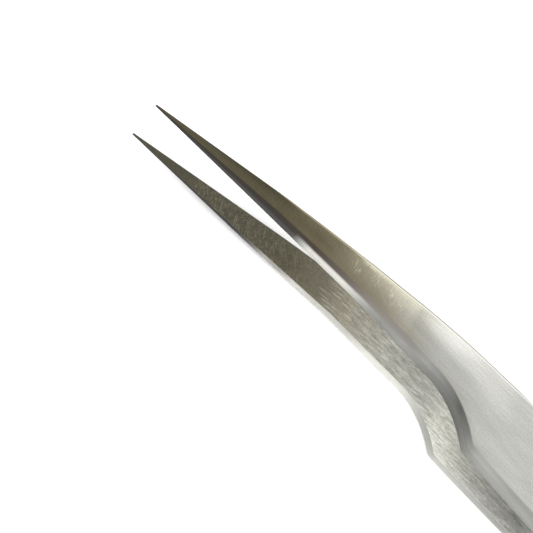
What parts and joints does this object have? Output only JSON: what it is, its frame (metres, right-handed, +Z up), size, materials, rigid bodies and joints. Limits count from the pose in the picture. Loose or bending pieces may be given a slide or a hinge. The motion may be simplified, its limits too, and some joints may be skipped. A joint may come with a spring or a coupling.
{
  "type": "precision tweezers",
  "caption": "Fine-tipped stainless tweezers with a needle tip that curves slightly to one side and a shoulder behind it, lying on one arm's flat face.",
  "frame": {"origin": "on the surface that the tweezers lie on, half-way along the tool and on the handle's axis, which is on the lower arm's flat outer face", "axes": "+X along the handle's axis towards the tips, +Y towards the concave side with the shoulder, +Z up from the lower arm to the upper arm"},
  "size_m": [0.1221, 0.0121, 0.008],
  "materials": {
    "arm_steel": "satin brushed along the handle, coarser grinding marks on the inner faces and on the needle tip",
    "spacer_steel": "plain ground edge",
    "weld_steel": "fused weld metal, not in view"
  },
  "bodies": {
    "heel": {"heel_spacer": "spacer_steel", "lower_heel_tab": "arm_steel", "upper_heel_tab": "arm_steel", "lower_weld_nuggets": "weld_steel", "upper_weld_nuggets": "weld_steel", "lower_arm_leaf": "arm_steel", "upper_arm_leaf": "arm_steel"},
    "lower_arm": {"lower_arm_blade": "arm_steel"},
    "upper_arm": {"upper_arm_blade": "arm_steel"}
  },
  "joints": [
    {"name": "lower_arm_flex", "type": "hinge", "parent": "heel", "child": "lower_arm", "pos_m": [-0.034, 0, 0.00038], "axis": [0, -1, 0], "range_deg": [0, 1.82], "stiffness_Nm_per_rad": 2.63, "deforming": ["lower_arm_leaf"]},
    {"name": "upper_arm_flex", "type": "hinge", "parent": "heel", "child": "upper_arm", "pos_m": [-0.03409, 0, 0.00409], "axis": [0, 1, 0], "range_deg": [0, 1.82], "stiffness_Nm_per_rad": 2.63, "deforming": ["upper_arm_leaf"]}
  ]
}
